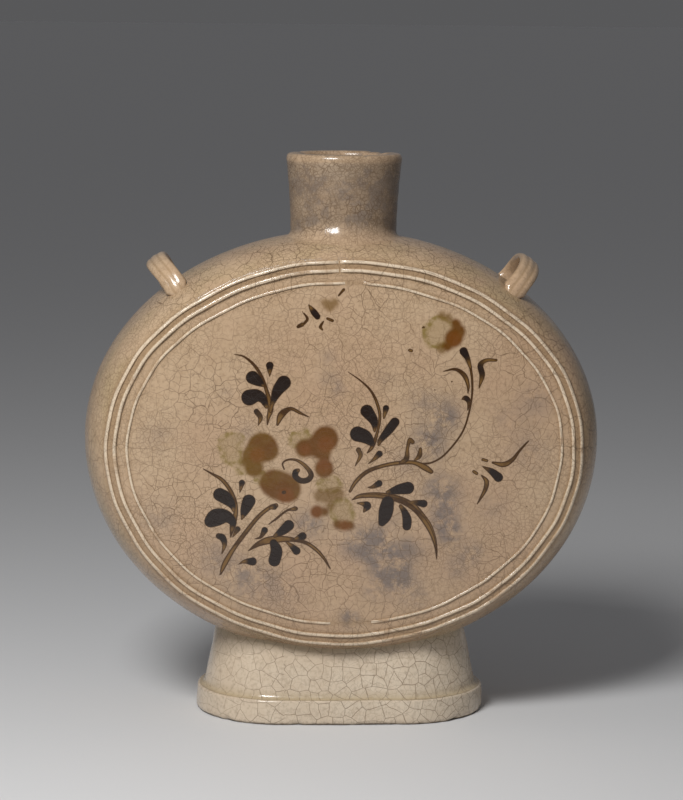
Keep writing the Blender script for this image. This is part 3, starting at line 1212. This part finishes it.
def cove_rows():
    """(ring, pooled glaze) rows of the smoothed clay along the plinth."""
    rows = []
    for angle in np.linspace(90, 0, COVE_ROWS) * DEG:
        level = PLINTH_HEIGHT + COLLAR_COVE * (1 - math.sin(angle))
        inset = collar_lean(level) - COLLAR_COVE * (1 - math.cos(angle))
        rows.append((foot_ring(inset, level, COLLAR_COLUMNS), COVE_POOL + (1 - COVE_POOL) * math.sin(angle)))
    return rows


def collar_wall_rows(inset, shares):
    """(ring, pooled glaze) rows at these shares of the way up the wall to the underside of the body."""
    low, half_rise = PLINTH_HEIGHT + COLLAR_COVE, COLLAR_RISE / 2
    head_lean = collar_lean(PLINTH_HEIGHT + half_rise)
    top = foot_ring(head_lean, 0, COLLAR_COLUMNS)
    seat = underside_height(top[:, 0], top[:, 1]) + SEAT_DEPTH
    foot = foot_ring(inset + collar_lean(low), 0, COLLAR_COLUMNS)
    head = foot_ring(inset + head_lean, 0, COLLAR_COLUMNS)
    rows = []
    for share in shares:
        level = low + share * (seat - low)
        ring = foot + (head - foot) * ((level - low) / (half_rise - COLLAR_COVE))[:, None]
        ring[:, 2] = level
        pool = max(COVE_POOL - COVE_POOL_FADE * share, HEAD_POOL_RISE * share - HEAD_POOL_START, 0.0)
        rows.append((ring, 0.0 if inset else pool))
    return rows


def make_collar(material):
    """The flared wall of the foot, from the plinth up to the underside of the body."""
    rows = cove_rows() + collar_wall_rows(0.0, np.linspace(0, 1, COLLAR_ROWS)[1:])
    rows += collar_wall_rows(FOOT_WALL, np.linspace(1, 0, COLLAR_INNER_ROWS))
    rows.append((foot_ring(FOOT_WALL, PLINTH_HEIGHT, COLLAR_COLUMNS), 0.0))
    rings = hand_cut(np.stack([ring for ring, _ in rows]))
    mesh = ring_mesh("cut_collar", rings, closed_rows=True)
    set_number(mesh, "pool", np.repeat([pool for _, pool in rows], COLLAR_COLUMNS))
    lay_flat_rings(mesh, rings, "collar")
    add_piece("cut_collar", mesh, material, "foot_collar")


def plinth_profile():
    """(inset, level, pooled glaze) rows of the plinth, from the opening underneath round to it again."""
    rows = [(FOOT_WALL, 0.0, 0.0), (FOOT_WALL / 2, 0.0, 0.0)]
    rows.append((2 * PLINTH_FOOT_ROUND - PLINTH_LEDGE, 0.0, 0.0))
    for share in np.linspace(0, 1, PLINTH_EDGE_ROWS):
        rows.append((PLINTH_FOOT_ROUND * (1 - share) - PLINTH_LEDGE, PLINTH_FOOT_ROUND * share, 0.0))
    for share in np.linspace(0, 1, PLINTH_ROWS)[1:]:
        level = PLINTH_FOOT_ROUND + share * (PLINTH_HEIGHT - PLINTH_ROUND - PLINTH_FOOT_ROUND)
        rows.append((PLINTH_LEAN * share ** 2 - PLINTH_LEDGE, level, 0.0))
    for angle in np.linspace(0, 90, PLINTH_ROUND_ROWS + 1)[1:] * DEG:
        rows.append((PLINTH_LEAN + PLINTH_ROUND * (1 - math.cos(angle)) - PLINTH_LEDGE,
                     PLINTH_HEIGHT - PLINTH_ROUND * (1 - math.sin(angle)), 0.0))
    rows.append((-PLINTH_ROUND, PLINTH_HEIGHT - LEDGE_DIP, 1.0))
    rows.append((0.0, PLINTH_HEIGHT - LEDGE_DIP, 1.0))
    rows.append((FOOT_WALL, PLINTH_HEIGHT - LEDGE_DIP, 0.0))
    return rows


def make_plinth(material):
    """The ring that the flask stands on, with a rubbed upper edge and a chipped lower one."""
    profile = plinth_profile()
    rings = hand_cut(np.stack([foot_ring(inset, level, PLINTH_COLUMNS) for inset, level, _ in profile]))
    turn = np.arctan2(rings[..., 1], rings[..., 0])
    low = np.clip(1 - rings[..., 2] / CHIP_REACH, 0, 1)
    outer = np.array([inset < 0 for inset, _, _ in profile])[:, None]
    ragged = np.abs(waves("nick", turn) * waves("nick_group", turn)) + np.abs(waves("grit", turn))
    rings = pushed(rings, -FOOT_CHIP * outer * low * (ragged + dents(turn, FOOT_CHIPS)))
    mesh = ring_mesh("cut_plinth", rings, closed_rows=True)
    set_number(mesh, "pool", np.repeat([pool for _, _, pool in profile], PLINTH_COLUMNS))
    lay_flat_rings(mesh, rings, "plinth")
    add_piece("cut_plinth", mesh, material, "foot_plinth")


# Lugs

def strap_outline(columns):
    """Shares of the half width and the half thickness round the strap, and the height of its reeds."""
    turn = full_turn(columns)
    width = np.cos(turn)
    depth = np.sign(np.sin(turn)) * np.abs(np.sin(turn)) ** STRAP_BLUNT
    return width, depth, np.where(depth > 0, np.cos(REEDS * math.pi * width), 0)


def lug_ways(side, twist):
    """The seat of a lug on the shoulder, and the ways out from it, along its span and across its strap."""
    cosine, sine = math.cos(LUG_ANGLE), math.sin(LUG_ANGLE)
    seat = np.array([side * BODY_HALF_WIDTH * cosine, 0, BODY_LEVEL + BODY_RISE * sine])
    out = np.array([side * cosine / BODY_HALF_WIDTH, 0, sine / BODY_RISE])
    out /= np.linalg.norm(out)
    across = np.array([0.0, 1.0, 0.0])
    along = np.cross(across, out)
    span_way = across * math.cos(twist) + along * math.sin(twist)
    width_way = along * math.cos(twist) - across * math.sin(twist)
    return seat, out, span_way, width_way


def lug_ring(place, sway, ways, outline):
    """One section of the strap at an angle along its bend, fuller where it is pressed on."""
    seat, out, span_way, width_way = ways
    width, depth, reed = outline
    half_span, rise = LUG_HALF_SPAN - LUG_THICKNESS / 2, LUG_RISE - LUG_THICKNESS / 2
    sine, cosine = math.sin(place), math.cos(place)
    centre = seat + out * (rise * sine) + span_way * (half_span * cosine) + width_way * sway
    normal = out * (half_span * sine) + span_way * (rise * cosine)
    normal /= np.linalg.norm(normal)
    over = rise * sine + LUG_SINK
    foot = np.clip(1 - over / LUG_TOE_RISE, 0, 1) ** 2
    rounded = math.sqrt(np.clip(LUG_END_SHARE + over / LUG_TOE_ROUND, LUG_LEAST_SHARE, 1))
    half_width = (LUG_WIDTH + LUG_FOOT_SPREAD * foot) * rounded / 2
    thick = LUG_THICKNESS / 2 * depth * (1 + REED_SHARE * (1 - foot) * reed)
    thick = thick + np.where(depth > 0, LUG_TOE * foot * depth, 0)
    return centre + np.outer(width * half_width, width_way) + np.outer(thick, normal)


def make_lug(node, side, material):
    """A reeded strap bent over the seam, its feet spread and pressed on to the shoulder."""
    name = "bent_lug_" + node.split("_")[0]
    ways = lug_ways(side, LUG_TWIST[node])
    outline = strap_outline(LUG_COLUMNS)
    rings = []
    for place in np.linspace(-LUG_ROOT_ANGLE, math.pi + LUG_ROOT_ANGLE, LUG_ROWS):
        rings.append(lug_ring(place, LUG_SWAY * math.sin(SWAY_COUNT * place + side), ways, outline))
    rings = np.stack(rings)
    mesh = ring_mesh(name, rings)
    reed = outline[2]
    set_number(mesh, "crest", np.tile(0.5 + 0.5 * reed, LUG_ROWS))
    lay_flat_rings(mesh, rings, node)
    add_piece(name, mesh, material, node)


# Raised borders

def ridge_rings(side, inset, span, profile, fades, phase):
    """Sections of a ridge laid on a face along an oval between two angles, fading at its ends."""
    start, end = span
    steps = int(abs(end - start) / RIDGE_STEP)
    angles = np.linspace(start, end, steps)
    sine, cosine = np.sin(angles), np.cos(angles)
    step = np.arange(steps)
    taper = np.sqrt(np.clip(step / fades[0], 0, 1) * np.clip(step[::-1] / fades[1], 0, 1))
    stray = BORDER_WANDER * waves("ridge_line", angles, phase)
    swell = taper * (1 + waves("ridge_height", angles, phase))
    rings = []
    for offset, height in profile:
        inward = inset + offset + stray
        x = (BODY_HALF_WIDTH - inward) * cosine
        rise = (reach_up(sine) - inward) * sine
        radius = np.hypot(x, rise * BODY_HALF_WIDTH / reach_up(sine))
        z = BODY_LEVEL + rise
        lift = height * swell if height > 0 else height
        depth = skin_depth(radius)
        y = side * (depth + lumps(-side * x, z) * lump_share(depth) + lift)
        rings.append(np.stack([-side * x, y, z], axis=1))
    return np.stack(rings, axis=1)


def lay_ridge(name, node, rings, crests, material):
    """Puts a laid ridge into the scene; crests says how near each point of a section is to a crest."""
    mesh = ring_mesh(name, rings)
    set_number(mesh, "crest", np.tile(crests, len(rings)))
    lay_flat_body(mesh)
    add_piece(name, mesh, material, node)


def ridge_profile(middles, half_width, height, web):
    """(inward, outward) points over one or more half-round ridges, and how near each is to a crest."""
    points, crests = [], []
    for middle in middles:
        for angle in np.linspace(180, 0, RIDGE_ARC_POINTS) * DEG:
            bump = math.sin(angle) ** RIDGE_BLUNT
            points.append((middle + half_width * math.cos(angle), web + (height - web) * bump))
            crests.append(bump)
    points += [(points[-1][0], -SEAT_DEPTH), (points[0][0], -SEAT_DEPTH)]
    return points, crests + [0.0, 0.0]


def make_strip(face, side, material):
    """The drawn strip with two ridges round one face, butted near the top."""
    half = STRIP_SPACING / 2
    profile, crests = ridge_profile((-half, half), RIDGE_HALF_WIDTH, RIDGE_HEIGHT, STRIP_WEB)
    reach = BODY_HALF_WIDTH - STRIP_INSET
    start = math.acos((STRIP_JOINT + STRIP_GAP / 2) / reach)
    end = math.acos((STRIP_JOINT - STRIP_GAP / 2) / reach) - 2 * math.pi
    rings = ridge_rings(side, STRIP_INSET, (start, end), profile, STRIP_FADES, STRIP_PHASE)
    lay_ridge("laid_strip_" + face, face + "_border_strip", rings, crests, material)


def make_threads(face, side, material):
    """The two thin raised lines inside the strip, open at the top and the bottom."""
    profile, crests = ridge_profile((0.0,), THREAD_HALF_WIDTH, THREAD_HEIGHT, 0.0)
    reach = BODY_HALF_WIDTH - THREAD_INSET
    for hand, way in (("left", LEFT), ("right", RIGHT)):
        top = math.acos((THREAD_GAP_MIDDLE + way * THREAD_TOP_GAP / 2) / reach)
        bottom = -math.acos((THREAD_GAP_MIDDLE + way * THREAD_BOTTOM_GAP / 2) / reach)
        span = (top, bottom) if way == RIGHT else (bottom, top - 2 * math.pi)
        rings = ridge_rings(side, THREAD_INSET, span, profile, THREAD_FADES, THREAD_PHASE + way)
        lay_ridge("laid_thread_%s_%s" % (face, hand), "%s_inner_thread_%s" % (face, hand), rings, crests,
                  material)


# Studio

def make_floor():
    """A plain pale floor that runs to the horizon."""
    mesh = bpy.data.meshes.new("floor")
    corners = [(x * FLOOR_REACH, y * FLOOR_REACH, 0) for x, y in ((-1, -1), (1, -1), (1, 1), (-1, 1))]
    mesh.from_pydata(corners, [], [(0, 1, 2, 3)])
    floor = put_in_scene("floor", mesh)
    paint = bpy.data.materials.new("floor_paper")
    paint.use_nodes = True
    shader = paint.node_tree.nodes["Principled BSDF"]
    shader.inputs["Base Color"].default_value = FLOOR_GREY
    shader.inputs["Roughness"].default_value = FLOOR_ROUGHNESS
    mesh.materials.append(paint)


def make_lamp(name, place, power, size):
    """A square soft lamp that looks at the middle of the body."""
    data = bpy.data.lights.new(name, "AREA")
    data.energy = power
    data.size = size
    lamp = put_in_scene(name, data)
    lamp.location = place
    lamp.rotation_euler = (Vector((0, 0, BODY_LEVEL)) - Vector(place)).to_track_quat("-Z", "Y").to_euler()


def make_light():
    """A soft key from the upper left, and an even sky that is seen in the grey of the far floor."""
    make_lamp("key", KEY_PLACE, KEY_POWER, KEY_SIZE)
    world = bpy.data.worlds.new("studio")
    world.use_nodes = True
    nodes, links = world.node_tree.nodes, world.node_tree.links
    seen = nodes.new("ShaderNodeMix")
    seen.data_type = "RGBA"
    seen.inputs[6].default_value = SKY_GREY
    seen.inputs[7].default_value = HORIZON_GREY
    links.new(nodes.new("ShaderNodeLightPath").outputs["Is Camera Ray"], seen.inputs[0])
    links.new(seen.outputs[2], nodes["Background"].inputs["Color"])
    bpy.context.scene.world = world


def make_camera():
    """A camera at the photograph's place and angle."""
    azimuth, pitch, roll = CAMERA_AZIMUTH, CAMERA_PITCH, CAMERA_ROLL
    inward = Vector((-math.sin(azimuth), math.cos(azimuth), 0))
    place = Vector((0, 0, CAMERA_HEIGHT)) - CAMERA_DISTANCE * inward
    ahead = math.cos(pitch) * inward - Vector((0, 0, math.sin(pitch)))
    level = Vector((math.cos(azimuth), math.sin(azimuth), 0))
    above = level.cross(ahead)
    right = math.cos(roll) * level + math.sin(roll) * above
    upward = -math.sin(roll) * level + math.cos(roll) * above
    data = bpy.data.cameras.new("camera")
    data.sensor_width = SENSOR
    data.lens = SENSOR * FOCAL_PIXELS / IMAGE_LONG_SIDE
    camera = put_in_scene("camera", data)
    turn = Matrix((right, upward, -ahead)).transposed().to_4x4()
    camera.matrix_world = Matrix.Translation(place) @ turn
    bpy.context.scene.camera = camera


def main():
    """Builds the pieces, the studio and the camera."""
    plain, border, foot, lug = body_glaze(False), border_glaze(), foot_glaze(), lug_glaze()
    make_shell("front", FRONT, body_glaze(True))
    make_shell("rear", REAR, plain)
    make_seam(plain)
    make_neck(neck_glaze())
    make_collar(foot)
    make_plinth(foot)
    make_lug("left_lug", LEFT, lug)
    make_lug("right_lug", RIGHT, lug)
    for face, side in (("front", FRONT), ("rear", REAR)):
        make_strip(face, side, border)
        make_threads(face, side, border)
    make_floor()
    make_light()
    make_camera()
    bpy.context.scene.view_settings.view_transform = "Standard"


main()
